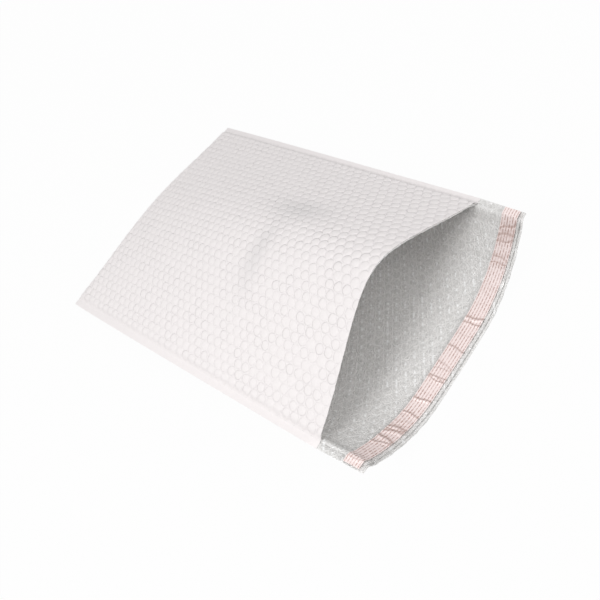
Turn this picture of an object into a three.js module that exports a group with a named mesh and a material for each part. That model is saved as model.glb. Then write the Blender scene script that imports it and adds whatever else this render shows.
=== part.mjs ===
// A bubble-lined poly mailer, lying open on its back panel.
// Millimetres, +Z up. X runs across the mailer, the closed fold is at +Y and the mouth and flap are at -Y.
// The origin is the middle of its footprint, on the surface that it lies on.

import * as THREE from "three";

// Sizes of the mailer laid flat
const panelWidth = 362;
const panelLength = 464;
const flapLength = 60;
const flapBow = 4;
const seamBand = 8;

// The plies of one wall, and the clearance between plies that touch
const filmThickness = 0.6;
const liningThickness = 3.6;
const plyGap = 0.3;
const pocketLift = 0.3;
const liningSideInset = 0.4;
const pocketSideInset = 3.4;
const liningMouthMargin = 2;
const liningEndMargin = 3;

// Bubbles stand in rows along the mailer, each row half a pitch on from the last
const bubblePitch = 11.9;
const filmRelief = 1.2;
const liningRelief = 1.2;

// How the mailer lies: its seams climb from the fold to the mouth, more so at +X, over a sagging back
const closedHalfWidth = 180.5;
const mouthHalfWidth = 157;
const floorClearance = 0.2;
const seamClimb = 59;
const seamTilt = 6;
const closedBulge = 20;
const mouthBulge = 77;
const bulgeRounding = 15;
const closedRidgeSoftness = 1;
const mouthRidgeSoftness = 0.27;
const ridgeLength = 77;
const ridgePower = 1.05;
const flatShare = 0.29;
const foldRadius = 17;
const foldPull = 8;
const foldPullLength = 58;
const shoulderWidth = 7;
const pressedLength = 225;

// Two soft dents in the front panel: a crease across the near slope and a hollow beyond the ridge
const dents = [
  { along: 300, across: -22, length: 16, breadth: 48, depth: 1.4 },
  { along: 318, across: 60, length: 45, breadth: 20, depth: 2 },
];

// The tape on the flap: a bead of adhesive under a peel-off liner
const linerWidth = 19.5;
const linerMargin = 6;
const linerSideMargin = 2;
const linerThickness = 0.4;
const adhesiveWidth = 13.5;
const adhesiveSideMargin = 16;
const adhesiveThickness = 0.5;

// How finely the smooth skins are divided
const smoothStep = 80;
const foldStations = [0, 9, 18, 27, 40.5];
const smoothRows = [0, 0.12, 0.25, 0.42, 0.62, 0.82];

const halfFlat = panelWidth / 2;
const halfPocket = halfFlat - seamBand;
const flapEnd = panelLength + flapLength;
const liningMouth = panelLength - liningMouthMargin;
const liningEnd = flapEnd - liningEndMargin;
const rowPitch = (bubblePitch * Math.sqrt(3)) / 2;
const columnPitch = bubblePitch / 2;
const sameStation = 1e-6;

// A ply's skin is set in from the side edges and the fold, and stands off the seam plane.
const pocketSkin = { inset: seamBand + pocketSideInset, foldInset: 0, lift: pocketLift, band: 0 };
const liningLift = pocketLift + liningThickness;
const liningSkin = { inset: seamBand + liningSideInset, foldInset: 0, lift: liningLift, band: 0 };
const filmBackSkin = { inset: seamBand, foldInset: 0, lift: liningLift + plyGap, band: 0 };
const filmLift = filmBackSkin.lift + filmThickness;
const filmSkin = { inset: seamBand, foldInset: 0, lift: filmLift, band: filmThickness };
for (const skin of [pocketSkin, liningSkin, filmBackSkin]) skin.foldInset = filmSkin.lift - skin.lift;

const seamRest = filmSkin.lift + floorClearance;

const smooth = (x) => THREE.MathUtils.smoothstep(x, 0, 1);
const seamHeight = (v, across) => seamRest + (seamClimb + (seamTilt * across) / halfFlat) * v;
const halfWidthAt = (v) => THREE.MathUtils.lerp(closedHalfWidth, mouthHalfWidth, Math.min(v, 1));
const bulgeAt = (v) => closedBulge + (mouthBulge - closedBulge + bulgeRounding) * v - bulgeRounding * v * v;

// The arch over the pocket is a soft pillow at the fold and draws up to a ridge at the mouth.
function ridge(share, v) {
  const fade = Math.exp((-v * panelLength) / ridgeLength);
  const softness = THREE.MathUtils.lerp(mouthRidgeSoftness, closedRidgeSoftness, fade);
  const top = Math.hypot(1, softness);
  return Math.pow((top - Math.hypot(share, softness)) / (top - softness), ridgePower);
}

// The back lies flat along the middle and rises to the seams on both sides.
const trough = (share) => Math.pow(Math.max(0, share - flatShare) / (1 - flatShare), 2);

function dentAt(along, across) {
  const depths = dents.map((dent) => {
    const offLength = (along - dent.along) / dent.length;
    const offBreadth = (across - dent.across) / dent.breadth;
    return dent.depth * Math.exp(-(offLength ** 2) - offBreadth ** 2);
  });
  return depths.reduce((sum, depth) => sum + depth, 0);
}

// The flap's end is bowed, so its length shrinks a little towards both sides.
function bowed(along, across) {
  const shrink = (flapBow / flapLength) * (across / halfFlat) ** 2;
  return along - Math.max(0, along - panelLength) * shrink;
}

// One point of a skin. station runs from the fold and across from the centre line, both on the flat film.
function skinPoint(front, skin, station, across, proud = 0) {
  const along = bowed(station, across);
  const v = along / panelLength;
  const edge = halfFlat - Math.abs(across);
  const share = Math.min(Math.abs(across) / halfPocket, 1);
  const closing = smooth((edge - skin.inset) / shoulderWidth);
  const sagAt = (u) => (seamHeight(u, across) - filmSkin.lift) * (1 - trough(share));
  const archAt = (u) => (front ? bulgeAt(u) * ridge(share, u) : sagAt(u));
  const band = skin.band * Math.min(edge / seamBand, 1);
  const arch = archAt(v) - (front ? dentAt(along, across) : 0);
  const height = band + closing * (skin.lift + proud - skin.band + arch);
  const foldHeight = closing * (filmSkin.lift + archAt(0));
  const arc = (Math.PI / 2) * Math.sqrt((foldRadius ** 2 + foldHeight ** 2) / 2);
  const fade = front ? 0 : closing * (1 - Math.exp(-along / foldPullLength));
  const pull = foldPull * (1 - fade);
  const foldTop = -pull * ridge(share, 0) - foldRadius;
  const seamRise = seamHeight(1, across) - seamHeight(0, across);
  const climb = seamRise + (front ? 1 : -1) * closing * (archAt(1) - archAt(0));
  const run = Math.sqrt(panelLength ** 2 - climb ** 2) / panelLength;
  const turn = (Math.PI / 2) * Math.min(along / arc, 1);
  const x = (halfWidthAt(v) * across) / halfFlat;
  const beyond = Math.max(along - arc, 0) * run;
  const y = foldTop - beyond + (foldRadius - skin.foldInset + closing * proud) * Math.cos(turn);
  const z = seamHeight(v, across) + (front ? 1 : -1) * height * Math.sin(turn);
  return new THREE.Vector3(x, y, Math.max(z, 0));
}

// Lines of points are joined into faces. Equal stations make quads, cut along their low corners.
function join(faces, near, far, turned) {
  let i = 0;
  let j = 0;
  const add = (a, b, c) => faces.push(...(turned ? [a, c, b] : [a, b, c]));
  while (i < near.length - 1 || j < far.length - 1) {
    const nextNear = i < near.length - 1 ? near[i + 1].at : Infinity;
    const nextFar = j < far.length - 1 ? far[j + 1].at : Infinity;
    const level = Math.abs(nextNear - nextFar) < sameStation;
    const cutFromNear = near[i].low && far[Math.min(j + 1, far.length - 1)].low;
    if (level ? !cutFromNear : nextNear < nextFar) {
      add(near[i].point, near[i + 1].point, far[j].point);
      i += 1;
    } else {
      add(near[i].point, far[j + 1].point, far[j].point);
      j += 1;
    }
  }
}

const joinAll = (faces, lines, turned) => lines.slice(1).forEach((line, i) => join(faces, lines[i], line, turned));

// Stations along the film: every half pitch, with the stated marks in place of any that come too close.
function bubbleStations(from, marks) {
  const stations = marks.map((along) => ({ along, column: null }));
  const last = Math.max(...marks);
  for (let column = 0; column * columnPitch < last; column += 1) {
    const along = column * columnPitch;
    const clear = marks.every((mark) => Math.abs(mark - along) > columnPitch / 2);
    if (clear && along > from) stations.push({ along, column });
  }
  return stations.sort((a, b) => a.along - b.along);
}

function smoothStations(marks) {
  const stations = [...foldStations];
  const start = stations.at(-1);
  const stops = marks.filter((mark) => mark > start);
  stops.forEach((stop, k) => {
    const begin = k ? stops[k - 1] : start;
    const count = Math.max(1, Math.round((stop - begin) / smoothStep));
    for (let n = 1; n <= count; n += 1) stations.push(begin + ((stop - begin) * n) / count);
  });
  return stations.map((along) => ({ along, column: null }));
}

// Rows across the film, from one side of a skin to the other
const rowCount = Math.floor((2 * (halfPocket - shoulderWidth)) / rowPitch) + 1;
const middleRow = (rowCount - 1) / 2;
const bubbleRows = Array.from({ length: rowCount }, (_, row) => ({ across: (row - middleRow) * rowPitch, row }));
const mirrored = (shares) => [...shares.map((s) => -s).reverse(), ...shares.filter((s) => s > 0)];
const flatEdge = flatShare * halfPocket;

function smoothRowsOf(skin) {
  const side = halfFlat - skin.inset;
  const shoulder = side - shoulderWidth;
  const shares = smoothRows.map((share) => share * halfPocket);
  return mirrored([...shares, shoulder, side - shoulderWidth / 2, side]).map((across) => ({ across, row: null }));
}

function fineRowsOf(skin) {
  const side = halfFlat - skin.inset;
  return [{ across: -side, row: null }, ...bubbleRows, { across: side, row: null }];
}

const isCrown = (column, row) => column !== null && row !== null && (column + row) % 2 === 0;

// One line across a skin at a station. relief is how far each bubble's crown stands out.
function lineAcross(front, skin, station, rows, relief) {
  return rows.map(({ across, row }) => {
    const crown = relief !== 0 && isCrown(station.column, row);
    const point = skinPoint(front, skin, station.along, across, crown ? relief : 0);
    return { at: across, point, low: relief !== 0 ? !crown : across < 0 };
  });
}

const sideLine = (lines, last) => lines.map(({ along, line }) => ({ ...(last ? line.at(-1) : line[0]), at: along }));

// A panel of a skin, with the side bands that join it to the other panel
function panel(faces, skin, front, stations, rowsAt, reliefAt, outward) {
  const lines = stations.map((station) => ({
    along: station.along,
    line: lineAcross(front, skin, station, rowsAt(station), reliefAt(station)),
  }));
  joinAll(faces, lines.map(({ line }) => line), front === outward);
  return lines;
}

function bandLine(stations, sign) {
  return stations.map(({ along }) => ({ at: along, point: skinPoint(true, filmSkin, along, sign * halfFlat) }));
}

function solidFrom(faces, name, material) {
  const geometry = new THREE.BufferGeometry().setFromPoints(faces);
  geometry.computeVertexNormals();
  const mesh = new THREE.Mesh(geometry, material);
  mesh.name = name;
  return mesh;
}

// The rim between the outer and inner skins runs round the mouth, up the flap's sides and along its end.
function rim(faces, outside, inside) {
  join(faces, outside.mouth, inside.mouth, true);
  join(faces, outside.end, inside.end, false);
  join(faces, outside.left, inside.left, false);
  join(faces, outside.right, inside.right, true);
}

const pastMouth = (line, mouth) => line.filter(({ at }) => at > mouth - sameStation);

// Outer film: one web of white film, folded at the closed end and welded along both sides.
function outerFilm() {
  const faces = [];
  const coreRows = fineRowsOf(filmSkin);
  const raisedRows = coreRows.filter(({ across }) => Math.abs(across) > flatEdge + rowPitch / 3);
  const flatEdges = [-flatEdge, flatEdge].map((across) => ({ across, row: null }));
  const restRows = [...raisedRows, ...flatEdges].sort((a, b) => a.across - b.across);
  const frontStations = bubbleStations(0, [0, panelLength]);
  const turned = foldRadius + filmSkin.lift + bubblePitch;
  const isPressed = ({ along }) => along > turned && along < pressedLength;
  const backStations = bubbleStations(0, [0, panelLength, flapEnd]).filter((station) => !isPressed(station));

  const front = panel(faces, filmSkin, true, frontStations, () => coreRows, () => filmRelief, true);
  const rowsOfBack = ({ along }) => (along > turned ? restRows : coreRows);
  const back = panel(faces, filmSkin, false, backStations, rowsOfBack, () => filmRelief, true);

  const bandStations = smoothStations([panelLength, flapEnd]);
  const rims = { mouth: front.at(-1).line, end: back.at(-1).line };
  for (const sign of [-1, 1]) {
    const edge = bandLine(bandStations, sign);
    const edgeInFront = edge.filter(({ at }) => at < panelLength + sameStation);
    join(faces, edgeInFront, sideLine(front, sign > 0), sign > 0);
    join(faces, edge, sideLine(back, sign > 0), sign < 0);
    const corner = { ...edgeInFront.at(-1), at: sign * halfFlat };
    const endCorner = { ...edge.at(-1), at: sign * halfFlat };
    rims.mouth = sign < 0 ? [corner, ...rims.mouth] : [...rims.mouth, corner];
    rims.end = sign < 0 ? [endCorner, ...rims.end] : [...rims.end, endCorner];
    rims[sign < 0 ? "left" : "right"] = pastMouth(edge, panelLength);
  }

  const smoothBack = smoothStations([liningMouth, panelLength, liningEnd, flapEnd]);
  const smoothFront = smoothBack.filter(({ along }) => along < panelLength + sameStation);
  const rows = smoothRowsOf(filmBackSkin);
  const frontInside = panel(faces, filmBackSkin, true, smoothFront, () => rows, () => 0, false);
  const backInside = panel(faces, filmBackSkin, false, smoothBack, () => rows, () => 0, false);
  rim(faces, rims, insideRims(frontInside, backInside, panelLength));
  return faces;
}

function insideRims(front, back, mouth) {
  return {
    mouth: front.at(-1).line,
    end: back.at(-1).line,
    left: pastMouth(sideLine(back, false), mouth),
    right: pastMouth(sideLine(back, true), mouth),
  };
}

// Bubble lining: clear bubble film laminated inside the front, the back and the flap
function bubbleLining() {
  const faces = [];
  const stations = smoothStations([liningMouth, liningEnd]);
  const inFront = stations.filter(({ along }) => along < liningMouth + sameStation);
  const outerRows = smoothRowsOf(liningSkin);
  const front = panel(faces, liningSkin, true, inFront, () => outerRows, () => 0, true);
  const back = panel(faces, liningSkin, false, stations, () => outerRows, () => 0, true);

  const pocketRows = smoothRowsOf(pocketSkin);
  const flapRows = fineRowsOf(pocketSkin);
  const flapStations = bubbleStations(liningMouth, [liningEnd]);
  const pocketStations = [...inFront, ...flapStations];
  const rowsOfBack = ({ along }) => (along > liningMouth + sameStation ? flapRows : pocketRows);
  const reliefOfBack = ({ along }) => (along > liningMouth + sameStation ? -liningRelief : 0);
  const frontInside = panel(faces, pocketSkin, true, inFront, () => pocketRows, () => 0, false);
  const backInside = panel(faces, pocketSkin, false, pocketStations, rowsOfBack, reliefOfBack, false);
  rim(faces, insideRims(front, back, liningMouth), insideRims(frontInside, backInside, liningMouth));
  return faces;
}

// A thin strip across the flap, lifted clear of the bubbles that it lies on. All strips bend at the same rows.
const stripSides = [pocketSkin.inset, adhesiveSideMargin, linerSideMargin].map((margin) => halfFlat - margin);
const stripRows = [...bubbleRows.map(({ across }) => across), ...mirrored(stripSides)].sort((a, b) => a - b);

function flapStrip(from, to, sideMargin, lift, thickness) {
  const faces = [];
  const side = halfFlat - sideMargin;
  const acrosses = stripRows.filter((across) => Math.abs(across) <= side);
  const layer = (along, height) =>
    acrosses.map((across) => {
      const point = skinPoint(false, pocketSkin, along, across);
      return { at: across, point: point.setZ(point.z + height) };
    });
  const ring = [layer(from, lift), layer(to, lift), layer(to, lift + thickness), layer(from, lift + thickness)];
  joinAll(faces, [...ring, ring[0]], false);
  for (const last of [false, true]) {
    const corners = ring.map((line) => (last ? line.at(-1) : line[0]).point);
    const [a, b, c, d] = last ? corners : corners.slice().reverse();
    faces.push(a, c, b, a, d, c);
  }
  return faces;
}

const plastic = (color, roughness, extra = {}) =>
  new THREE.MeshStandardMaterial({ color, roughness, metalness: 0, ...extra });
const whiteFilm = plastic(0xf2f0f0, 0.45);
const clearFilm = plastic(0xd9dcdb, 0.25, { transparent: true, opacity: 0.6 });
const adhesive = plastic(0xe6dcc0, 0.3);
const linerPaper = plastic(0xf3e3df, 0.5);

const linerTo = flapEnd - linerMargin;
const linerFrom = linerTo - linerWidth;
const adhesiveFrom = linerFrom + (linerWidth - adhesiveWidth) / 2;
const adhesiveLift = liningRelief + plyGap;
const linerLift = adhesiveLift + adhesiveThickness + plyGap;

const adhesiveFaces = flapStrip(
  adhesiveFrom,
  adhesiveFrom + adhesiveWidth,
  adhesiveSideMargin,
  adhesiveLift,
  adhesiveThickness,
);
const linerFaces = flapStrip(linerFrom, linerTo, linerSideMargin, linerLift, linerThickness);

const mailer = new THREE.Group();
mailer.add(
  solidFrom(outerFilm(), "outer_film", whiteFilm),
  solidFrom(bubbleLining(), "bubble_lining", clearFilm),
  solidFrom(adhesiveFaces, "adhesive_strip", adhesive),
  solidFrom(linerFaces, "release_liner", linerPaper),
);

const footprint = new THREE.Box3().setFromObject(mailer);
mailer.position.y = -(footprint.min.y + footprint.max.y) / 2;

export default mailer;
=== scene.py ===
# %% [markdown]
# # A bubble-lined poly mailer
# The mailer is one web of white film with clear bubble film laminated inside it. The web is folded at the
# closed end and welded along both sides, and its flap carries a bead of adhesive under a peel-off liner.
# Here it lies on its back with its mouth open, so that the front panel arches up to a soft ridge. The
# solids are loaded first. They give the size and the place that the finer pieces have to keep.

import math

import bpy
import numpy as np
from mathutils import Matrix, Vector


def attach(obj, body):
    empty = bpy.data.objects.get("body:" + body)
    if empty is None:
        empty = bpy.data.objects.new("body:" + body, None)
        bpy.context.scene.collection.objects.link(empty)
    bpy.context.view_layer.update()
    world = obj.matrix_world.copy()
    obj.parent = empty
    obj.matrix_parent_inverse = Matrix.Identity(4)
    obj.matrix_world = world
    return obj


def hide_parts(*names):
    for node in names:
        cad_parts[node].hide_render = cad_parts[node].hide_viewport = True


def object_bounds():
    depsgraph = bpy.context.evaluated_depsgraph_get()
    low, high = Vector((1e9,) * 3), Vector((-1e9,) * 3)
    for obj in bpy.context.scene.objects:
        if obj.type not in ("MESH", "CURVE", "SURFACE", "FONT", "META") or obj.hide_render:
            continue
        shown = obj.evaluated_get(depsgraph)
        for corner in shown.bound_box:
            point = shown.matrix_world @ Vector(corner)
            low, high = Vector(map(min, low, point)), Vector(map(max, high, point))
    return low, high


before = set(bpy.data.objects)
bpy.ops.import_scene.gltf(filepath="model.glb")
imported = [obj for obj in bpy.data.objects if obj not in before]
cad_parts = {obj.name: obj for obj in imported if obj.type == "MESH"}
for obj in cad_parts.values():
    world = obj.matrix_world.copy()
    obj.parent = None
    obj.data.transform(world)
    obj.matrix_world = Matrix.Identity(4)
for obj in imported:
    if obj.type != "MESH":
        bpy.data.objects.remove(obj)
cad_low, cad_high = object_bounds()
print("nodes", sorted(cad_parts))
print("box of the solids", [round(x, 4) for x in (*cad_low, *cad_high)])

# %% [markdown]
# ## The rule that the film follows
# A sheet can't stretch, so a good way to draw one is to name its points by where they lie on the flat
# film: a distance along it from the fold, and a distance across it from the centre line. The same rule
# then places the white film, the bubble film and the liner, and they stay nested. All sizes are in
# millimetres until the last step.

# %% Sizes of the flat mailer and of the way it lies
panel_width = 362.0
panel_length = 464.0
flap_length = 60.0
flap_bow = 4.0
seam_band = 8.0
half_flat = panel_width / 2
half_pocket = half_flat - seam_band
flap_end = panel_length + flap_length

film_thickness = 0.6
lining_thickness = 3.6
ply_gap = 0.3
pocket_lift = 0.3

closed_half_width = 180.5
mouth_half_width = 157.0
side_bow = 5.0
floor_clearance = 0.2
seam_climb = 59.0
seam_tilt = 6.0
closed_bulge = 20.0
mouth_bulge = 77.0
bulge_rounding = 15.0
closed_ridge_softness = 1.0
mouth_ridge_softness = 0.27
ridge_length = 77.0
ridge_power = 1.05
flat_share = 0.29
fold_radius = 17.0
fold_pull = 8.0
fold_pull_length = 58.0
shoulder_width = 7.0
dents = (
    {"along": 300, "across": -22, "length": 16, "breadth": 48, "depth": 1.4},
    {"along": 304, "across": 58, "length": 45, "breadth": 20, "depth": 2.0},
)

deepest_dent = max(dent["depth"] for dent in dents)
lining_lift = pocket_lift + lining_thickness
film_back_lift = lining_lift + ply_gap
film_lift = film_back_lift + film_thickness
seam_rest = film_lift + floor_clearance
mm_per_metre = 1000
fold_y = cad_high.y * mm_per_metre
print("the fold corners lie at y", round(fold_y, 2), "mm")

# %% [markdown]
# ## Plies that nest
# A ply differs from its neighbours only in how high it lies over the middle of the web, and in how far
# from the side of the mailer its free part ends. So each side of a ply is a few numbers, and all the rest
# is shared.

# %% The sides of the film and of the lining
lining_inset = 0.4
pocket_inset = 3.4


def skin(inset, lift, band=0.0):
    return {"inset": inset, "lift": lift, "fold_inset": film_lift - lift, "band": band}


pocket_skin = skin(seam_band + pocket_inset, pocket_lift)
lining_skin = skin(seam_band + lining_inset, lining_lift)
film_back_skin = skin(seam_band, film_back_lift)
film_skin = skin(seam_band, film_lift, film_thickness)
nested = (pocket_skin, lining_skin, film_back_skin, film_skin)
print("lifts from the pocket outwards", [round(skin_used["lift"], 1) for skin_used in nested], "mm")

# %% [markdown]
# ## The shape of the open mailer
# Seen from its mouth, the front panel is an arch with a soft ridge, and the back sags between the two
# side welds until it rests on the floor. Two dents break the front's even curve. Each of these is a short
# formula of the place on the flat film, so a change in one size carries through to every ply.


# %% Profiles of the welds, the arch, the sag and the dents
def smooth(x):
    t = np.clip(x, 0, 1)
    return t * t * (3 - 2 * t)


def seam_height(v, across):
    return seam_rest + (seam_climb + seam_tilt * across / half_flat) * v


def bulge_at(v):
    return closed_bulge + (mouth_bulge - closed_bulge + bulge_rounding) * v - bulge_rounding * v * v


def ridge(share, v):
    fade = np.exp(-v * panel_length / ridge_length)
    softness = mouth_ridge_softness + (closed_ridge_softness - mouth_ridge_softness) * fade
    top = np.hypot(1, softness)
    return ((top - np.hypot(share, softness)) / (top - softness)) ** ridge_power


def trough(share):
    return (np.maximum(0, share - flat_share) / (1 - flat_share)) ** 2


def dent_at(along, across):
    depth = 0.0
    for dent in dents:
        off_length = (along - dent["along"]) / dent["length"]
        off_breadth = (across - dent["across"]) / dent["breadth"]
        depth = depth + dent["depth"] * np.exp(-(off_length**2) - off_breadth**2)
    return depth


def bowed(along, across):
    """The flap's end is bowed, so its length shrinks a little towards both sides."""
    shrink = flap_bow / flap_length * (across / half_flat) ** 2
    return along - np.maximum(0, along - panel_length) * shrink


print("the front stands", round(bulge_at(1.0), 1), "mm over the welds at the mouth")

# %% [markdown]
# ## From the flat film to space
# The height of the weld, the arch or the sag and the ply's own lift are added up. Near the welds the
# plies close up, as the real ones do where they are pressed together. At the fold the film turns half a
# circle. Its run along the floor is shortened by what it climbs, so that it keeps its true length.


# %% Place points of the flat film in space
def place(front, skin_used, station, across):
    """Points of a ply in millimetres, for arrays of places on the flat film."""
    along = bowed(station, across)
    v = along / panel_length
    edge = half_flat - np.abs(across)
    share = np.minimum(np.abs(across) / half_pocket, 1)
    closing = smooth((edge - skin_used["inset"]) / shoulder_width)

    def arch_at(u):
        if front:
            return bulge_at(u) * ridge(share, u)
        return (seam_height(u, across) - film_lift) * (1 - trough(share))

    band = skin_used["band"] * np.minimum(edge / seam_band, 1)
    arch = arch_at(v) - (dent_at(along, across) if front else 0.0)
    height = band + closing * (skin_used["lift"] - skin_used["band"] + arch)
    fold_height = closing * (film_lift + arch_at(0.0))
    arc = math.pi / 2 * np.sqrt((fold_radius**2 + fold_height**2) / 2)
    fade = 0.0 if front else closing * (1 - np.exp(-along / fold_pull_length))
    fold_top = -fold_pull * (1 - fade) * ridge(share, 0.0) - fold_radius
    side = 1 if front else -1
    rise = seam_height(1.0, across) - seam_height(0.0, across)
    climb = rise + side * closing * (arch_at(1.0) - arch_at(0.0))
    run = np.sqrt(panel_length**2 - climb**2) / panel_length
    turn = math.pi / 2 * np.minimum(along / arc, 1)
    to_flap_end = np.clip((flap_end - along) / flap_length, 0, 1)
    half_width = closed_half_width + (mouth_half_width - closed_half_width) * np.minimum(v, 1)
    half_width = half_width + side_bow * np.sqrt(np.minimum(v, 1)) * to_flap_end
    x = half_width * across / half_flat
    beyond = np.maximum(along - arc, 0) * run
    y = fold_top - beyond + (fold_radius - skin_used["fold_inset"]) * np.cos(turn)
    z = seam_height(v, across) + side * height * np.sin(turn)
    return np.stack([x, y + fold_y, np.maximum(z, 0)], axis=-1)


ridge_top = place(True, film_skin, np.array([panel_length]), np.array([0.0]))[0]
print("the ridge is", round(float(ridge_top[2]), 1), "mm high at the mouth")

# %% [markdown]
# ## Sheets out of lines of points
# Each ply is a closed shell: an outer side, an inner side and a rim round the mouth and the flap. A fine
# side and a plain side have different counts of points, so their edges are zipped together. That keeps
# the mesh closed and spends the triangles only where bubbles show.

# %% Lines, grids and zips
bubble_pitch = 11.9
row_pitch = bubble_pitch * math.sqrt(3) / 2
press_height = 2.0
print("rows of bubbles lie", round(row_pitch, 2), "mm apart")


class Ply:
    """Points on the flat film, what is stored at each, and the faces between them."""

    def __init__(self):
        self.points = []
        self.along = []
        self.across = []
        self.relief = []
        self.dent = []
        self.faces = []
        self.lined_from = 0

    def lay(self, front, skin_used, stations, rows, relief=0.0):
        """A grid of points of one side of a ply, and their numbers in the mesh."""
        along, across = np.meshgrid(stations, rows, indexing="ij")
        first = sum(len(p) for p in self.points)
        points = place(front, skin_used, along, across)
        self.points.append(points.reshape(-1, 3))
        self.along.append(along.ravel())
        self.across.append(across.ravel())
        # The bubbles fade out where the back is pressed on the floor.
        pressed = 0 * along + 1 if front else smooth(points[..., 2] / press_height)
        weight = relief / mm_per_metre * self.free(skin_used, across) * pressed
        self.relief.append(np.broadcast_to(weight, along.shape).ravel())
        self.dent.append((dent_at(along, across) / deepest_dent if front else 0 * along).ravel())
        return first + np.arange(along.size).reshape(along.shape)

    def free(self, skin_used, across):
        """One where bubbles stand free, and nothing at the welds."""
        side = half_flat - skin_used["inset"] - np.abs(across)
        return smooth(side / shoulder_width)

    def weave(self, ids, turned):
        """Four-sided faces between a grid of points."""
        a, b = ids[:-1, :-1].ravel(), ids[:-1, 1:].ravel()
        c, d = ids[1:, 1:].ravel(), ids[1:, :-1].ravel()
        quads = np.stack([a, d, c, b] if turned else [a, b, c, d], axis=-1)
        self.faces.extend(quads.tolist())

    def zip(self, near, near_at, far, far_at, turned):
        """Triangles between two lines of points that have different counts."""
        i = j = 0
        while i < len(near) - 1 or j < len(far) - 1:
            next_near = near_at[i + 1] if i < len(near) - 1 else math.inf
            next_far = far_at[j + 1] if j < len(far) - 1 else math.inf
            if next_near <= next_far:
                corner = [near[i], near[i + 1], far[j]]
                i += 1
            else:
                corner = [near[i], far[j + 1], far[j]]
                j += 1
            self.faces.append(corner[::-1] if turned else corner)

    def mesh(self, name):
        mesh = bpy.data.meshes.new(name)
        points = np.concatenate(self.points) / mm_per_metre
        mesh.from_pydata(points.tolist(), [], self.faces)
        fields = {"along": self.along, "across": self.across, "relief": self.relief, "dent": self.dent}
        for label, values in fields.items():
            attribute = mesh.attributes.new(label, "FLOAT", "POINT")
            attribute.data.foreach_set("value", np.concatenate(values).astype(np.float32))
        mesh.update()
        piece = bpy.data.objects.new(name, mesh)
        bpy.context.scene.collection.objects.link(piece)
        return piece


def mirrored(values):
    """The values on both sides of the centre line, from left to right."""
    inner = [v for v in values if v > 0]
    return np.array([-v for v in reversed(inner)] + [v for v in values if v >= 0])


def stations_to(step, *marks):
    """Even steps along the film, with the marks in place of any step that comes too close."""
    steps = np.arange(0, marks[-1], step)
    kept = [s for s in steps if all(abs(s - m) > step / 3 for m in marks)]
    return np.array(sorted([*kept, *marks]))


# %% [markdown]
# ## The white film
# On the real mailer the film takes the shape of the bubbles behind it: domes in rows, each row half a
# bubble on from the last, with shallow valleys between. Drawing some 2,600 domes by hand makes no sense.
# The smooth web carries its two film coordinates as attributes, and a Geometry Nodes tree works out from
# them how far each point is from the nearest bubble and lifts it along its normal.

# %% The smooth web of film
fine_along = bubble_pitch / 8
fine_across = row_pitch / 6
plain_along = bubble_pitch / 4
plain_across = row_pitch / 3
film_relief = 0.8
# A hair's breadth, so that a rounding error can't put a point on the wrong side of a mark.
hair = 1e-6

film_side = half_flat - film_skin["inset"]
band_shares = (0.66, 0.33)
band_marks = [half_flat - seam_band * share for share in band_shares]


def rows_between(step, side, extra=()):
    inner = [n * step for n in range(int(side / step) + 1) if side - n * step > step / 3]
    return mirrored([*inner, side, *extra])


film = Ply()
front_stations = stations_to(fine_along, 0, panel_length)
back_stations = stations_to(plain_along, 0, panel_length, flap_end)[1:]
front_rows = rows_between(fine_across, film_side, (*band_marks, half_flat))
back_rows = rows_between(plain_across, film_side, band_marks)
front = film.lay(True, film_skin, front_stations, front_rows, film_relief)
back = film.lay(False, film_skin, back_stations, back_rows, film_relief)
film.weave(front, True)
film.weave(back, False)
film.zip(front[0], front_rows, back[0], back_rows, False)

flap_marks = back_stations[back_stations > panel_length + hair]
edges = {}
for sign in (-1, 1):
    flap_edge = film.lay(False, film_skin, flap_marks, [sign * half_flat])[:, 0]
    front_edge = front[:, -1] if sign > 0 else front[:, 0]
    ids = np.concatenate([front_edge, flap_edge])
    at = np.concatenate([front_stations, flap_marks])
    edges[sign] = (ids, at)
    back_side = back[:, -1] if sign > 0 else back[:, 0]
    film.zip(ids, at, back_side, back_stations, sign < 0)
print("film faces so far", len(film.faces))

# %% [markdown]
# ## The film's inner side
# The lining hides most of the film's inner side, so a plain sheet with few points will do. Its front and
# back share their points at the fold and along both welds, and a rim joins it to the outer side round the
# mouth and the flap.

# %% The film's inner side and its rim
fold_stations = [0, 9, 18, 27, 40.5]
pocket_steps = [120, 200, 290, 380]
row_shares = [0, 0.12, 0.25, 0.42, 0.62, 0.82]


def smooth_rows(skin_used):
    """A few rows, closer together near the welds, for a side without bubbles."""
    side = half_flat - skin_used["inset"]
    inner = [s * half_pocket for s in row_shares]
    return mirrored([*inner, side - shoulder_width, side - shoulder_width / 2, side])


def two_sides(ply, skin_used, stations, rows, mouth, outward, relief=0.0):
    """Front and back sides of one skin, which share their edges at the fold and along both seams."""
    in_front = stations[stations < mouth + hair]
    front_ids = ply.lay(True, skin_used, in_front, rows, relief)
    back_ids = ply.lay(False, skin_used, stations[1:], rows, relief)
    back_ids = np.concatenate([front_ids[:1], back_ids])
    back_ids[: len(in_front), 0] = front_ids[:, 0]
    back_ids[: len(in_front), -1] = front_ids[:, -1]
    ply.weave(front_ids, outward)
    ply.weave(back_ids, not outward)
    past = stations > mouth - hair
    return {
        "mouth": (front_ids[-1], rows),
        "end": (back_ids[-1], rows),
        "left": (back_ids[past, 0], stations[past]),
        "right": (back_ids[past, -1], stations[past]),
    }


def close_rim(ply, outside, inside):
    """Joins the outer side and the inner side round the mouth and the flap."""
    for key, turned in (("mouth", True), ("end", False), ("left", False), ("right", True)):
        ply.zip(*outside[key], *inside[key], turned)


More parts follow.
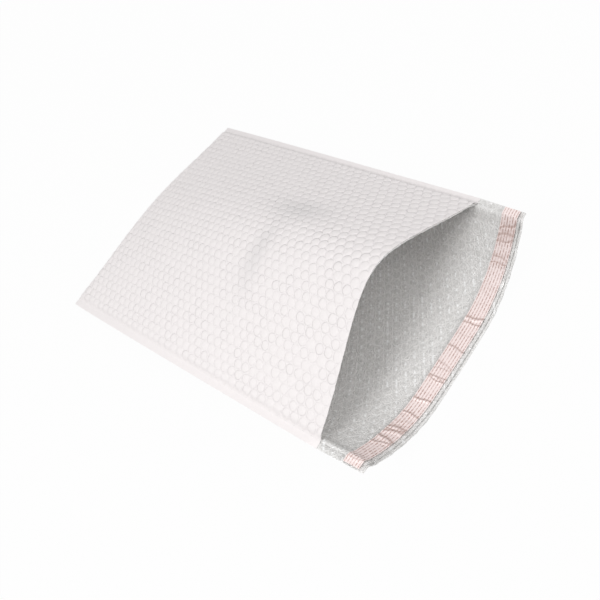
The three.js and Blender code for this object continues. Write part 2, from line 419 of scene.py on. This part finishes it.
film_inside = np.array([*fold_stations, *pocket_steps, panel_length, flap_end])
outside = {"mouth": (front[-1], front_rows)}
corner_rows = np.array([-half_flat, *back_rows, half_flat])
end_ids = np.array([edges[-1][0][-1], *back[-1], edges[1][0][-1]])
outside["end"] = (end_ids, corner_rows)
for sign, key in ((-1, "left"), (1, "right")):
    ids, at = edges[sign]
    kept = at > panel_length - hair
    outside[key] = (ids[kept], at[kept])
# The faces from here on are the inner side of the film.
film.lined_from = len(film.faces)
inside_rows = smooth_rows(film_back_skin)
inside = two_sides(film, film_back_skin, film_inside, inside_rows, panel_length, False)
close_rim(film, outside, inside)
film_piece = film.mesh("film_web")
print("film web:", len(film.faces), "faces")

# %% [markdown]
# ## Domes that follow a rule
# The bubbles stand where two plain lattices cross: one at whole numbers of pitches, the other half a cell
# on. The tree measures the distance to both, keeps the nearer, and rounds it into a dome. A little chance
# in each dome's height keeps the rows from looking stamped. The dome's height is stored, so that the
# finish can use it too.


# %% Helpers for node sums
def join(links, socket, value):
    """Links a socket to another's output, or sets it to a plain value."""
    if hasattr(value, "is_output"):
        links.new(value, socket)
    else:
        socket.default_value = value


def number(tree, operation, *values):
    node = tree.nodes.new("ShaderNodeMath")
    node.operation = operation
    for socket, value in zip(node.inputs, values):
        join(tree.links, socket, value)
    return node.outputs[0]


def vector(tree, operation, *values):
    node = tree.nodes.new("ShaderNodeVectorMath")
    node.operation = operation
    for socket, value in zip(node.inputs, values):
        join(tree.links, socket, value)
    return node.outputs["Value" if operation == "LENGTH" else "Vector"]


def nearest_bubble(tree, along, across, pitch):
    """The distance to the nearest bubble in pitches, and the place of that bubble in its lattice."""
    cell = tree.nodes.new("ShaderNodeCombineXYZ")
    join(tree.links, cell.inputs["X"], number(tree, "DIVIDE", along, pitch))
    row_length = number(tree, "MULTIPLY", pitch, math.sqrt(3))
    join(tree.links, cell.inputs["Y"], number(tree, "DIVIDE", across, row_length))
    half_on = (0.5, 0.5, 0)
    shifted = vector(tree, "ADD", cell.outputs[0], half_on)
    distances, centres = [], []
    for lattice, back_step in ((shifted, (0, 0, 0)), (cell.outputs[0], half_on)):
        offset = vector(tree, "SUBTRACT", vector(tree, "FRACTION", lattice), half_on)
        distances.append(vector(tree, "LENGTH", vector(tree, "MULTIPLY", offset, (1, math.sqrt(3), 0))))
        centres.append(vector(tree, "ADD", vector(tree, "FLOOR", lattice), back_step))
    choose = tree.nodes.new("ShaderNodeMix")
    choose.data_type = "VECTOR"
    join(tree.links, choose.inputs["Factor"], number(tree, "LESS_THAN", *distances))
    # A Mix node's vector sockets are its fifth and sixth, and the vector result is its second.
    join(tree.links, choose.inputs[4], centres[1])
    join(tree.links, choose.inputs[5], centres[0])
    return number(tree, "MINIMUM", *distances), choose.outputs[1]


def chance_of(tree, centre, seed):
    """A number from nothing to one that is the same all over one bubble."""
    node = tree.nodes.new("ShaderNodeTexWhiteNoise")
    node.noise_dimensions = "4D"
    join(tree.links, node.inputs["Vector"], centre)
    join(tree.links, node.inputs["W"], seed)
    return node.outputs["Value"]


# %% [markdown]
# ## The tree and its inputs
# Each size in the tree is a named input, so that one tree can raise the film's low, wide bubbles and the
# lining's fuller ones. The seed is an input too, and it keeps the chance the same on every run. The tree
# ends by making all of it real geometry with a finish, since other programs don't know about instances.


# %% The tree that raises the bubbles
def bubble_tree():
    tree = bpy.data.node_groups.new("raise_bubbles", "GeometryNodeTree")
    tree.is_modifier = True
    sockets = tree.interface
    sockets.new_socket("Geometry", in_out="INPUT", socket_type="NodeSocketGeometry")
    inputs = {}
    for label, value in (
        ("Bubble pitch", bubble_pitch),
        ("Dome radius", 0.53),
        ("Dome fullness", 0.8),
        ("Unevenness", 0.2),
        ("Seed", 1.0),
    ):
        inputs[label] = sockets.new_socket(label, in_out="INPUT", socket_type="NodeSocketFloat")
        inputs[label].default_value = value
    inputs["Finish"] = sockets.new_socket("Finish", in_out="INPUT", socket_type="NodeSocketMaterial")
    sockets.new_socket("Geometry", in_out="OUTPUT", socket_type="NodeSocketGeometry")
    given = tree.nodes.new("NodeGroupInput")

    def attribute(label):
        node = tree.nodes.new("GeometryNodeInputNamedAttribute")
        node.data_type = "FLOAT"
        node.inputs["Name"].default_value = label
        return node.outputs["Attribute"]

    pitch = given.outputs["Bubble pitch"]
    distance, centre = nearest_bubble(tree, attribute("along"), attribute("across"), pitch)
    reach = number(tree, "MINIMUM", number(tree, "DIVIDE", distance, given.outputs["Dome radius"]), 1.0)
    round_top = number(tree, "SUBTRACT", 1.0, number(tree, "MULTIPLY", reach, reach))
    dome = number(tree, "POWER", round_top, given.outputs["Dome fullness"])
    chance = chance_of(tree, centre, given.outputs["Seed"])
    lost = number(tree, "MULTIPLY", chance, given.outputs["Unevenness"])
    dome = number(tree, "MULTIPLY", dome, number(tree, "SUBTRACT", 1.0, lost))

    geometry = given.outputs["Geometry"]

    def step(kind, **values):
        nonlocal geometry
        node = tree.nodes.new(kind)
        join(tree.links, node.inputs["Geometry"], geometry)
        for label, value in values.items():
            join(tree.links, node.inputs[label], value)
        geometry = node.outputs[0]
        return node

    keep = step("GeometryNodeStoreNamedAttribute", Name="dome")
    keep.data_type = "FLOAT"
    keep.domain = "POINT"
    join(tree.links, keep.inputs["Value"], dome)
    lift = tree.nodes.new("ShaderNodeVectorMath")
    lift.operation = "SCALE"
    join(tree.links, lift.inputs[0], tree.nodes.new("GeometryNodeInputNormal").outputs["Normal"])
    join(tree.links, lift.inputs["Scale"], number(tree, "MULTIPLY", attribute("relief"), dome))
    step("GeometryNodeSetPosition", Offset=lift.outputs[0])
    step("GeometryNodeSetShadeSmooth")
    step("GeometryNodeRealizeInstances")
    step("GeometryNodeSetMaterial", Material=given.outputs["Finish"])
    result = tree.nodes.new("NodeGroupOutput")
    join(tree.links, result.inputs["Geometry"], geometry)
    return tree, {label: socket.identifier for label, socket in inputs.items()}


raise_bubbles, bubble_inputs = bubble_tree()
print("tree inputs", bubble_inputs)

# %% [markdown]
# ## A plain mesh out of the tree
# A modifier is good for trying values. Once they are right, the raised sheet is kept as a plain mesh and
# the modifier goes. Edges sharper than a set angle stay crisp, which are the rims of the film, and the
# rest is smooth.

# %% Raise the bubbles and keep the mesh
sharp_angle = math.radians(55)


def raised(piece, name, material, **settings):
    """The piece with its bubbles raised, as a plain mesh."""
    modifier = piece.modifiers.new("bubbles", "NODES")
    modifier.node_group = raise_bubbles
    for label, value in (*settings.items(), ("Finish", material)):
        modifier[bubble_inputs[label.replace("_", " ")]] = value
    depsgraph = bpy.context.evaluated_depsgraph_get()
    mesh = bpy.data.meshes.new_from_object(piece.evaluated_get(depsgraph), depsgraph=depsgraph)
    mesh.name = name
    piece.modifiers.remove(modifier)
    plain = piece.data
    mesh.set_sharp_from_angle(angle=sharp_angle)
    piece.data = mesh
    piece.name = name
    bpy.data.meshes.remove(plain)
    print(name, len(mesh.polygons), "faces")
    return piece


# %% [markdown]
# ## What the finishes share
# Both films are full of fine creases, and both show the edge of each bubble. Each of these effects is a
# group that is built once and then used in both finishes with other values. The groups put out heights
# and masks only. The bubbles' edges use the same rule for the rows as the tree does, so they fall on the
# raised domes.


# %% Shared groups
def shader_group(name, inputs, outputs):
    group = bpy.data.node_groups.new(name, "ShaderNodeTree")
    for label, value in inputs.items():
        socket = group.interface.new_socket(label, in_out="INPUT", socket_type="NodeSocketFloat")
        socket.default_value = value
    for label in outputs:
        group.interface.new_socket(label, in_out="OUTPUT", socket_type="NodeSocketFloat")
    return group, group.nodes.new("NodeGroupInput"), group.nodes.new("NodeGroupOutput")


def ramp(tree, value, low, high, kind="LINEAR"):
    node = tree.nodes.new("ShaderNodeMapRange")
    node.interpolation_type = kind
    join(tree.links, node.inputs["Value"], value)
    join(tree.links, node.inputs["From Min"], low)
    join(tree.links, node.inputs["From Max"], high)
    return node.outputs["Result"]


def noise(tree, scale, detail=2.0, sharpness=0.5):
    where = tree.nodes.new("ShaderNodeTexCoord")
    node = tree.nodes.new("ShaderNodeTexNoise")
    node.inputs["Detail"].default_value = detail
    join(tree.links, node.inputs["Vector"], where.outputs["Object"])
    join(tree.links, node.inputs["Scale"], scale)
    join(tree.links, node.inputs["Roughness"], sharpness)
    return node.outputs["Fac"]


def crease_group():
    """Soft wrinkles and small cells, as a height, and the brightest of the wrinkles as flecks."""
    given_values = {"Scale": 300.0, "Sharpness": 0.6}
    group, given, result = shader_group("fine_creases", given_values, ("Height", "Flecks"))
    soft = noise(group, given.outputs["Scale"], detail=3.0, sharpness=given.outputs["Sharpness"])
    where = group.nodes.new("ShaderNodeTexCoord")
    cells = group.nodes.new("ShaderNodeTexVoronoi")
    join(group.links, cells.inputs["Vector"], where.outputs["Object"])
    join(group.links, cells.inputs["Scale"], given.outputs["Scale"])
    join(group.links, result.inputs["Height"], number(group, "ADD", soft, cells.outputs["Distance"]))
    join(group.links, result.inputs["Flecks"], ramp(group, soft, low=0.5, high=0.72))
    return group


def edge_group():
    """Flat-topped bubbles from the two film coordinates, as a height and as a ring round each."""
    given_values = {
        "Along": 0.0,
        "Across": 0.0,
        "Inner": 0.37,
        "Outer": 0.5,
        "Unevenness": 0.5,
        "Seed": 3.0,
    }
    wobble_scale, wobble_size = 150.0, 0.16
    ring_width, ring_core = 0.09, 0.02
    group, given, result = shader_group("bubble_edges", given_values, ("Height", "Ring"))
    value = given.outputs
    distance, centre = nearest_bubble(group, value["Along"], value["Across"], bubble_pitch)
    wobble = noise(group, wobble_scale, detail=1.0)
    wobble = number(group, "MULTIPLY_ADD", wobble, wobble_size, -wobble_size / 2)
    distance = number(group, "ADD", distance, wobble)
    lost = number(group, "MULTIPLY", chance_of(group, centre, value["Seed"]), value["Unevenness"])
    top = ramp(group, distance, value["Outer"], value["Inner"], "SMOOTHSTEP")
    height = number(group, "MULTIPLY", top, number(group, "SUBTRACT", 1.0, lost))
    join(group.links, result.inputs["Height"], height)
    middle = number(group, "MULTIPLY", number(group, "ADD", value["Inner"], value["Outer"]), 0.5)
    off_ring = number(group, "ABSOLUTE", number(group, "SUBTRACT", distance, middle))
    join(group.links, result.inputs["Ring"], ramp(group, off_ring, ring_width, ring_core))
    return group


fine_creases = crease_group()
bubble_edges = edge_group()
print("shared groups", fine_creases.name, bubble_edges.name)

# %% [markdown]
# ## Short words for the finishes
# A finish is a Principled shader with something linked to its colour and its normal. These helpers keep
# each finish to a few lines that can be read as a recipe.


# %% Helpers for the finishes
def new_finish(name, **values):
    material = bpy.data.materials.new(name)
    material.use_nodes = True
    tree = material.node_tree
    shader = tree.nodes["Principled BSDF"]
    for label, value in values.items():
        shader.inputs[label.replace("_", " ")].default_value = value
    return material, tree, shader


def use_group(tree, group, **values):
    node = tree.nodes.new("ShaderNodeGroup")
    node.node_tree = group
    for label, value in values.items():
        join(tree.links, node.inputs[label], value)
    return node.outputs


def bump(tree, shader, height, distance):
    node = tree.nodes.new("ShaderNodeBump")
    join(tree.links, node.inputs["Strength"], 1.0)
    join(tree.links, node.inputs["Distance"], distance)
    join(tree.links, node.inputs["Height"], height)
    join(tree.links, shader.inputs["Normal"], node.outputs["Normal"])


def read(tree, label):
    """What the mesh stores at each point under this name."""
    node = tree.nodes.new("ShaderNodeAttribute")
    node.attribute_name = label
    return node.outputs["Fac"]


def blend(tree, factor, low, high):
    node = tree.nodes.new("ShaderNodeMix")
    node.data_type = "RGBA"
    # A Mix node's colour sockets are its seventh and eighth, and the colour result is its third.
    join(tree.links, node.inputs[0], factor)
    for socket, colour in ((node.inputs[6], low), (node.inputs[7], high)):
        join(tree.links, socket, colour if hasattr(colour, "is_output") else (*colour, 1))
    return node.outputs[2]


def both(tree, first, second, share):
    """The first height with a share of the second on top of it."""
    return number(tree, "MULTIPLY_ADD", second, share, first)


# %% [markdown]
# ## White film
# White polyethylene is a soft, slightly waxy white with little gloss. Each bubble behind it leaves a low
# step with a crisp edge, which a bump gives on top of the raised dome. Painted shade makes the film a
# touch greyer where it spans the valleys between the bubbles and where it is dented.

# %% White film
film_top = (0.89, 0.85, 0.848)
film_valley_shade = (0.882, 0.842, 0.84)
dent_shade_grey = (0.5, 0.5, 0.5)
dent_shade_share = 0.3
film_wrinkle_share = 0.35
film_bump = 0.0007
film_gloss = {"Roughness": 0.45, "Specular_IOR_Level": 0.25, "Coat_Weight": 0.05}
white_film, tree, shader = new_finish("white_film", **film_gloss)
across, along = read(tree, "across"), read(tree, "along")
bubbles = use_group(tree, bubble_edges, Along=along, Across=across, Seed=3.0)
raised_share = number(tree, "DIVIDE", read(tree, "relief"), film_relief / mm_per_metre)
steps = number(tree, "MULTIPLY", bubbles["Height"], raised_share)
# Painted shade: the film is greyer in the valleys between the domes.
tone = blend(tree, ramp(tree, read(tree, "dome"), low=0.0, high=0.3), film_valley_shade, film_top)
# Painted shade: the film is darker where it is dented.
tone = blend(tree, number(tree, "MULTIPLY", read(tree, "dent"), dent_shade_share), tone, dent_shade_grey)
join(tree.links, shader.inputs["Base Color"], tone)
wrinkles = use_group(tree, fine_creases, Scale=330.0, Sharpness=0.6)
bump(tree, shader, both(tree, steps, wrinkles["Height"], film_wrinkle_share), film_bump)
print(white_film.name, len(tree.nodes), "nodes")

# %% [markdown]
# ## Clear bubble film
# Clear bubble film over white reads as a pale, mottled grey. Its thin skin is full of tiny creases, and
# the light they catch is painted in as pale flecks. A painted highlight rings the edge of each bubble,
# and painted glints lie in lines along the rows. Real clear plastic would cost much light inside the
# pocket, so the finish paints what the two layers look like together.

# %% Clear bubble film over white
crease_grey = (0.68, 0.67, 0.655)
crease_highlight_white = (0.97, 0.96, 0.95)
cloud_white = (0.95, 0.935, 0.93)
cloud_share = 0.35
ring_highlight_white = (0.96, 0.95, 0.94)
ring_highlight_share = 0.5
glint_white = (1.0, 1.0, 1.0)
glint_from = 0.71
glint_cluster_share = 0.3
lining_wrinkle_share = 1.6
lining_bump = 0.00025
lining_gloss = {"Roughness": 0.22, "Coat_Weight": 0.5, "Coat_Roughness": 0.1}
clear_film, tree, shader = new_finish("clear_bubble_film", **lining_gloss)
across, along = read(tree, "across"), read(tree, "along")
bubbles = use_group(tree, bubble_edges, Along=along, Across=across, Seed=8.0)
wrinkles = use_group(tree, fine_creases, Scale=620.0, Sharpness=0.75)
# Painted highlights: the brightest creases are white flecks.
mottled = blend(tree, wrinkles["Flecks"], crease_grey, crease_highlight_white)
cloudy = ramp(tree, noise(tree, 260.0, sharpness=0.6), low=0.45, high=0.62)
mottled = blend(tree, number(tree, "MULTIPLY", cloudy, cloud_share), mottled, cloud_white)
# Painted highlight: a pale ring round the edge of each bubble.
tone = blend(tree, number(tree, "MULTIPLY", bubbles["Ring"], ring_highlight_share), mottled, ring_highlight_white)

row_at = number(tree, "MULTIPLY_ADD", across, 1 / (bubble_pitch * math.sqrt(3)), 0.5)
row_at = number(tree, "MULTIPLY_ADD", along, 1 / bubble_pitch, row_at)
off_row = number(tree, "ABSOLUTE", number(tree, "SUBTRACT", number(tree, "FRACT", row_at), 0.5))
sparkle = noise(tree, 280.0, sharpness=0.6)
cluster = noise(tree, 25.0, detail=1.0)
clustered = number(tree, "MULTIPLY_ADD", cluster, glint_cluster_share, sparkle)
glint = number(tree, "GREATER_THAN", clustered, glint_from)
glint = number(tree, "MULTIPLY", glint, ramp(tree, off_row, low=0.17, high=0.05))
tone = blend(tree, glint, tone, glint_white)
join(tree.links, shader.inputs["Base Color"], tone)
heights = both(tree, bubbles["Ring"], wrinkles["Height"], lining_wrinkle_share)
bump(tree, shader, heights, lining_bump)
print(clear_film.name, len(tree.nodes), "nodes")

# %% [markdown]
# ## The clear bubble lining
# The lining runs inside the front, round the fold, along the back and on over the flap. Its bubbles face
# into the pocket, so here the inner side is the fine one and the outer side is plain.

# %% The lining's plies
mouth_margin = 2
end_margin = 3
lining_dome = 0.7
steps_per_bubble = 5
lining_mouth = panel_length - mouth_margin
lining_end = flap_end - end_margin
lining = Ply()
outer_stations = np.array([*fold_stations, *pocket_steps, lining_mouth, lining_end])
outer_rows = smooth_rows(lining_skin)
outside = two_sides(lining, lining_skin, outer_stations, outer_rows, lining_mouth, True)
fine_stations = stations_to(bubble_pitch / steps_per_bubble, 0, lining_mouth, lining_end)
fine_rows = rows_between(row_pitch / steps_per_bubble, half_flat - pocket_skin["inset"])
inside = two_sides(lining, pocket_skin, fine_stations, fine_rows, lining_mouth, False, lining_dome)
close_rim(lining, outside, inside)
lining_piece = lining.mesh("bubble_film")

film_piece = raised(film_piece, "film_web", white_film, Seed=3.0)
fuller = {"Dome_radius": 0.48, "Dome_fullness": 0.6}
lining_piece = raised(lining_piece, "bubble_film", clear_film, Seed=8.0, **fuller)

# %% [markdown]
# ## The welded edges inside
# On the real mailer the bubble film reaches the edge of the flap and is melted flat there. So the film's
# inner side, where it shows past the lining, gets the lining's finish in a second material slot.

# %% The lining's finish on the inner side of the film
film_piece.data.materials.append(clear_film)
for face in film_piece.data.polygons[film.lined_from :]:
    face.material_index = 1
print("faces of film with the lining's finish", len(film.faces) - film.lined_from)

# %% [markdown]
# ## The adhesive and its liner
# The bead of adhesive lies on the lining's bubbles, and the liner on the bead. The liner is a thin strip
# of coated paper that has crinkled across its width where the flap bends. The lines along it are plain
# dashes.

# %% Sizes of the strips
liner_width = 19.5
liner_margin = 6.0
liner_side_margin = 2.0
liner_thickness = 0.4
adhesive_width = 13.5
adhesive_side_margin = 16.0
adhesive_thickness = 0.5
# The lining's bubbles stand this high in the solids, and the strips keep the same place over them here.
bubble_stand = 1.2
liner_to = flap_end - liner_margin
liner_from = liner_to - liner_width
strip_middle = (liner_from + liner_to) / 2
adhesive_lift = bubble_stand + ply_gap
liner_lift = adhesive_lift + adhesive_thickness + ply_gap
liner_side = half_flat - liner_side_margin
adhesive_side = half_flat - adhesive_side_margin
print("the liner is", 2 * liner_side, "by", liner_width, "mm")

# %% [markdown]
# ## Crinkles in the liner
# A strip of coated paper can't follow a curve in two ways, so it buckles in short ridges across its
# width. Each ridge has a place, a slant, a height and a width that come from one seeded draw, and a
# slight wave keeps it from running straight. A painted shade for the foot of each ridge, darker the
# higher the ridge, goes with the mesh, so that the finish can darken the paper there.

# %% The crinkles
crinkle_count = 46
crinkle_wave, crinkle_wave_length = 0.8, 3.3
least_crinkle, crinkle_range, crinkle_rarity = 0.15, 1.4, 2.2
narrowest, widest = 0.9, 2.2
most_slant = 0.35
foot_place, foot_width, foot_shade_strength = 1.3, 0.8, 1.2
chance = np.random.default_rng(12)
crinkle_places = np.sort(chance.uniform(-liner_side, liner_side, crinkle_count))
crinkle_slants = chance.uniform(-most_slant, most_slant, crinkle_count)
rare = chance.uniform(0, 1, crinkle_count) ** crinkle_rarity
crinkle_heights = least_crinkle + crinkle_range * rare
crinkle_widths = chance.uniform(narrowest, widest, crinkle_count)


def crinkle(along, across):
    """How far the liner stands off the strip below it, and the painted shade at the foot of each crease.
    """
    height = np.zeros_like(across)
    shade = np.zeros_like(across)
    drawn = (crinkle_places, crinkle_slants, crinkle_heights, crinkle_widths)
    for at, slant, peak, width in zip(*drawn):
        past_middle = along - strip_middle
        wave = crinkle_wave * np.sin(past_middle / crinkle_wave_length + at)
        off = across - at - slant * past_middle - wave
        height = np.maximum(height, peak * np.exp(-((off / width) ** 2)))
        foot = (off - foot_place * width) / (foot_width * width)
        shade = np.maximum(shade, np.minimum(peak * foot_shade_strength, 1) * np.exp(-(foot**2)))
    return height, shade


print("highest crinkle", round(float(crinkle_heights.max()), 2), "mm")

# %% [markdown]
# ## The strips themselves
# Both strips are thin closed boxes that follow the lining over the flap. They are made by one function,
# and only the liner is crinkled.


# %% Two thin strips across the flap
def strip(name, width, side, lift, thickness, counts, crinkled):
    along_line = np.linspace(strip_middle - width / 2, strip_middle + width / 2, counts[0])
    across_line = np.linspace(-side, side, counts[1])
    along, across = np.meshgrid(along_line, across_line, indexing="ij")
    base = place(False, pocket_skin, along, across)
    height, shade = crinkle(along, across) if crinkled else (0 * along, 0 * along)
    ply = Ply()
    sheets = []
    for level in (lift, lift + thickness):
        points = base.copy()
        points[..., 2] += level + height
        ply.points.append(points.reshape(-1, 3))
        ply.along.append(along.ravel())
        ply.across.append(across.ravel())
        # The strips keep the painted crease shade under the name relief.
        ply.relief.append(shade.ravel())
        ply.dent.append(0 * along.ravel())
        sheets.append(len(sheets) * along.size + np.arange(along.size).reshape(along.shape))
    under, over = sheets
    ply.weave(under, False)
    ply.weave(over, True)
    ply.weave(np.stack([over[0], under[0]]), True)
    ply.weave(np.stack([under[-1], over[-1]]), True)
    ply.weave(np.stack([over[:, 0], under[:, 0]]), False)
    ply.weave(np.stack([under[:, -1], over[:, -1]]), False)
    piece = ply.mesh(name)
    piece.data.shade_smooth()
    piece.data.set_sharp_from_angle(angle=sharp_angle)
    print(name, len(piece.data.polygons), "faces")
    return piece


bead_size = (adhesive_width, adhesive_side, adhesive_lift, adhesive_thickness)
liner_size = (liner_width, liner_side, liner_lift, liner_thickness)
bead = strip("adhesive_bead", *bead_size, (5, 140), False)
liner = strip("liner_strip", *liner_size, (13, 420), True)

# %% [markdown]
# ## Coated paper and adhesive
# The liner is pale pink paper with a silicone coat. Its print is six lines of plain dashes, worn in
# places, that are worked out from the place on the flat film, so they follow the strip round its curve.
# The adhesive is a cloudy, yellowish clear.

# %% The strips' finishes
paper_gloss = {"Roughness": 0.38, "Coat_Weight": 0.2, "Coat_Roughness": 0.2}
coated_paper, tree, shader = new_finish("coated_paper", **paper_gloss)
paper_pink = (0.97, 0.84, 0.82)
ink_brown = (0.40, 0.21, 0.17)
crease_shade_brown = (0.36, 0.22, 0.18)
crease_shade_share = 0.6
line_count = 6
line_shift = 0.37
dash_length = 5.2
least_ink, worn_ink = 0.35, 0.5
lines_per_mm = line_count / liner_width
line_at = number(tree, "MULTIPLY_ADD", read(tree, "along"), lines_per_mm, -liner_from * lines_per_mm)
off_line = number(tree, "ABSOLUTE", number(tree, "SUBTRACT", number(tree, "FRACT", line_at), 0.5))
on_line = ramp(tree, off_line, low=0.24, high=0.08)
shift = number(tree, "MULTIPLY", number(tree, "FLOOR", line_at), line_shift)
dash_at = number(tree, "MULTIPLY_ADD", read(tree, "across"), 1 / dash_length, shift)
on_dash = ramp(tree, number(tree, "FRACT", dash_at), low=0.12, high=0.2)
worn = ramp(tree, noise(tree, 210.0), low=0.35, high=0.62)
ink = number(tree, "MULTIPLY_ADD", worn, worn_ink, least_ink)
inked = number(tree, "MULTIPLY", number(tree, "MULTIPLY", on_line, on_dash), ink)
tone = blend(tree, inked, paper_pink, ink_brown)
# Painted shade: the paper is darker brown at the foot of each crinkle.
tone = blend(tree, number(tree, "MULTIPLY", read(tree, "relief"), crease_shade_share), tone, crease_shade_brown)
join(tree.links, shader.inputs["Base Color"], tone)
paper_bump = 0.00012
bump(tree, shader, use_group(tree, fine_creases, Scale=420.0)["Height"], paper_bump)
liner.data.materials.append(coated_paper)

adhesive_deep = (0.76, 0.7, 0.55)
adhesive_pale = (0.84, 0.8, 0.68)
adhesive, tree, shader = new_finish("clear_adhesive", Roughness=0.3)
cloudy = use_group(tree, fine_creases, Scale=120.0, Sharpness=0.5)
tone = blend(tree, cloudy["Flecks"], adhesive_deep, adhesive_pale)
join(tree.links, shader.inputs["Base Color"], tone)
bead.data.materials.append(adhesive)
print("dashes are", dash_length, "mm long, in", line_count, "lines")

# %% [markdown]
# ## Ties
# Nothing on the mailer moves, so all pieces ride on one body. Each finished piece takes the place of the
# solid that it refines.

# %% Tie the pieces to the solids that they stand for
for piece, node in (
    (film_piece, "outer_film"),
    (lining_piece, "bubble_lining"),
    (bead, "adhesive_strip"),
    (liner, "release_liner"),
):
    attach(piece, "root")
    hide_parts(node)
    print(piece.name, "stands for", node)

# %% [markdown]
# ## Floor and sky
# The photograph shows the mailer on pure white. The floor and the backdrop look white to the camera and
# in reflections, while the floor keeps a faint shadow. What lights the mailer is a softer sky, which is
# brighter overhead than low down, so that the fold and the sides darken a little as they turn away.


# %% Floor and world
def seen_directly(tree):
    """One for rays that come straight from the camera, off a shiny piece or through a clear one."""
    path = tree.nodes.new("ShaderNodeLightPath")
    seen = number(tree, "MAXIMUM", path.outputs["Is Camera Ray"], path.outputs["Is Glossy Ray"])
    return number(tree, "MAXIMUM", seen, path.outputs["Is Transmission Ray"])


def mix_shaders(tree, factor, first, second, output):
    mix = tree.nodes.new("ShaderNodeMixShader")
    join(tree.links, mix.inputs["Fac"], factor)
    join(tree.links, mix.inputs[1], first)
    join(tree.links, mix.inputs[2], second)
    join(tree.links, output, mix.outputs[0])


floor_size = 6.0
floor_height = -0.0005
mesh = bpy.data.meshes.new("floor")
around = ((-1, -1), (1, -1), (1, 1), (-1, 1))
corners = [(x * floor_size, y * floor_size, floor_height) for x, y in around]
mesh.from_pydata(corners, [], [(0, 1, 2, 3)])
floor = bpy.data.objects.new("floor", mesh)
bpy.context.scene.collection.objects.link(floor)
floor_grey = (0.55, 0.55, 0.55, 1)
white_share = 0.975
floor_paint, tree, shader = new_finish("floor_paint", Roughness=1.0, Base_Color=floor_grey)
glow = tree.nodes.new("ShaderNodeEmission")
share = number(tree, "MULTIPLY", seen_directly(tree), white_share)
surface = tree.nodes["Material Output"].inputs["Surface"]
mix_shaders(tree, share, shader.outputs[0], glow.outputs[0], surface)
floor.data.materials.append(floor_paint)

sky_low = 0.3
sky_overhead = 0.75
overhead_from = 0.9
world = bpy.data.worlds.new("studio")
bpy.context.scene.world = world
world.use_nodes = True
tree = world.node_tree
sky = tree.nodes["Background"]
sky.inputs["Color"].default_value = (1, 1, 1, 1)
where = tree.nodes.new("ShaderNodeTexCoord")
height = tree.nodes.new("ShaderNodeSeparateXYZ")
join(tree.links, height.inputs[0], where.outputs["Generated"])
overhead = ramp(tree, height.outputs["Z"], low=0.0, high=overhead_from)
strength = number(tree, "MULTIPLY_ADD", overhead, sky_overhead - sky_low, sky_low)
join(tree.links, sky.inputs["Strength"], strength)
backdrop = tree.nodes.new("ShaderNodeBackground")
backdrop.inputs["Color"].default_value = (1, 1, 1, 1)
surface = tree.nodes["World Output"].inputs["Surface"]
mix_shaders(tree, seen_directly(tree), sky.outputs[0], backdrop.outputs[0], surface)
print("the sky's strength is", sky_low, "to", sky_overhead)

# %% [markdown]
# ## Lamps
# The lamps stay plain, so that a colour renders about as it is written. The brighter one faces the near
# side of the front panel, where the bubbles nearly vanish, and grazes the far side, where their rows
# show. The other one shines in through the mouth and lights the lining.


# %% Lamps
def lamp(name, at, aim, size, power):
    data = bpy.data.lights.new(name, "AREA")
    data.shape = "DISK"
    data.size = size
    data.energy = power
    item = bpy.data.objects.new(name, data)
    bpy.context.scene.collection.objects.link(item)
    item.location = at
    item.rotation_mode = "QUATERNION"
    item.rotation_quaternion = (Vector(aim) - Vector(at)).to_track_quat("-Z", "Y")
    print(name, round((Vector(aim) - Vector(at)).length, 2), "m away,", power, "W")


lamp("key_lamp", at=(-0.72, -0.14, 0.98), aim=(0, -0.05, 0.03), size=0.35, power=5.5)
lamp("mouth_lamp", at=(0.46, -0.95, 0.45), aim=(-0.1, -0.2, 0.02), size=0.2, power=2.4)

# %% [markdown]
# ## The camera
# Its place and its turn come from a fit of the film's own rule to the panel's edges, the mouth and the
# rows of bubbles. The view is rolled, as a hand-held camera often is.

# %% Camera
camera_data = bpy.data.cameras.new("camera")
camera_data.sensor_width = 36
camera_data.lens = 36
camera_place = Vector((-0.2063, fold_y / mm_per_metre - 0.6984, 0.6133))
camera = bpy.data.objects.new("camera", camera_data)
bpy.context.scene.collection.objects.link(camera)
right = Vector((0.57997, -0.7545, -0.30724)).normalized()
ahead = Vector((0.25159, 0.5246, -0.81327))
ahead = (ahead - ahead.dot(right) * right).normalized()
up = right.cross(ahead)
turned = Matrix((right, up, -ahead)).transposed().to_4x4()
camera.matrix_world = Matrix.Translation(camera_place) @ turned
camera_data.clip_start = 0.01
bpy.context.scene.camera = camera
print("the camera is at", [round(x, 3) for x in camera_place])

bpy.context.scene.view_settings.view_transform = "Standard"
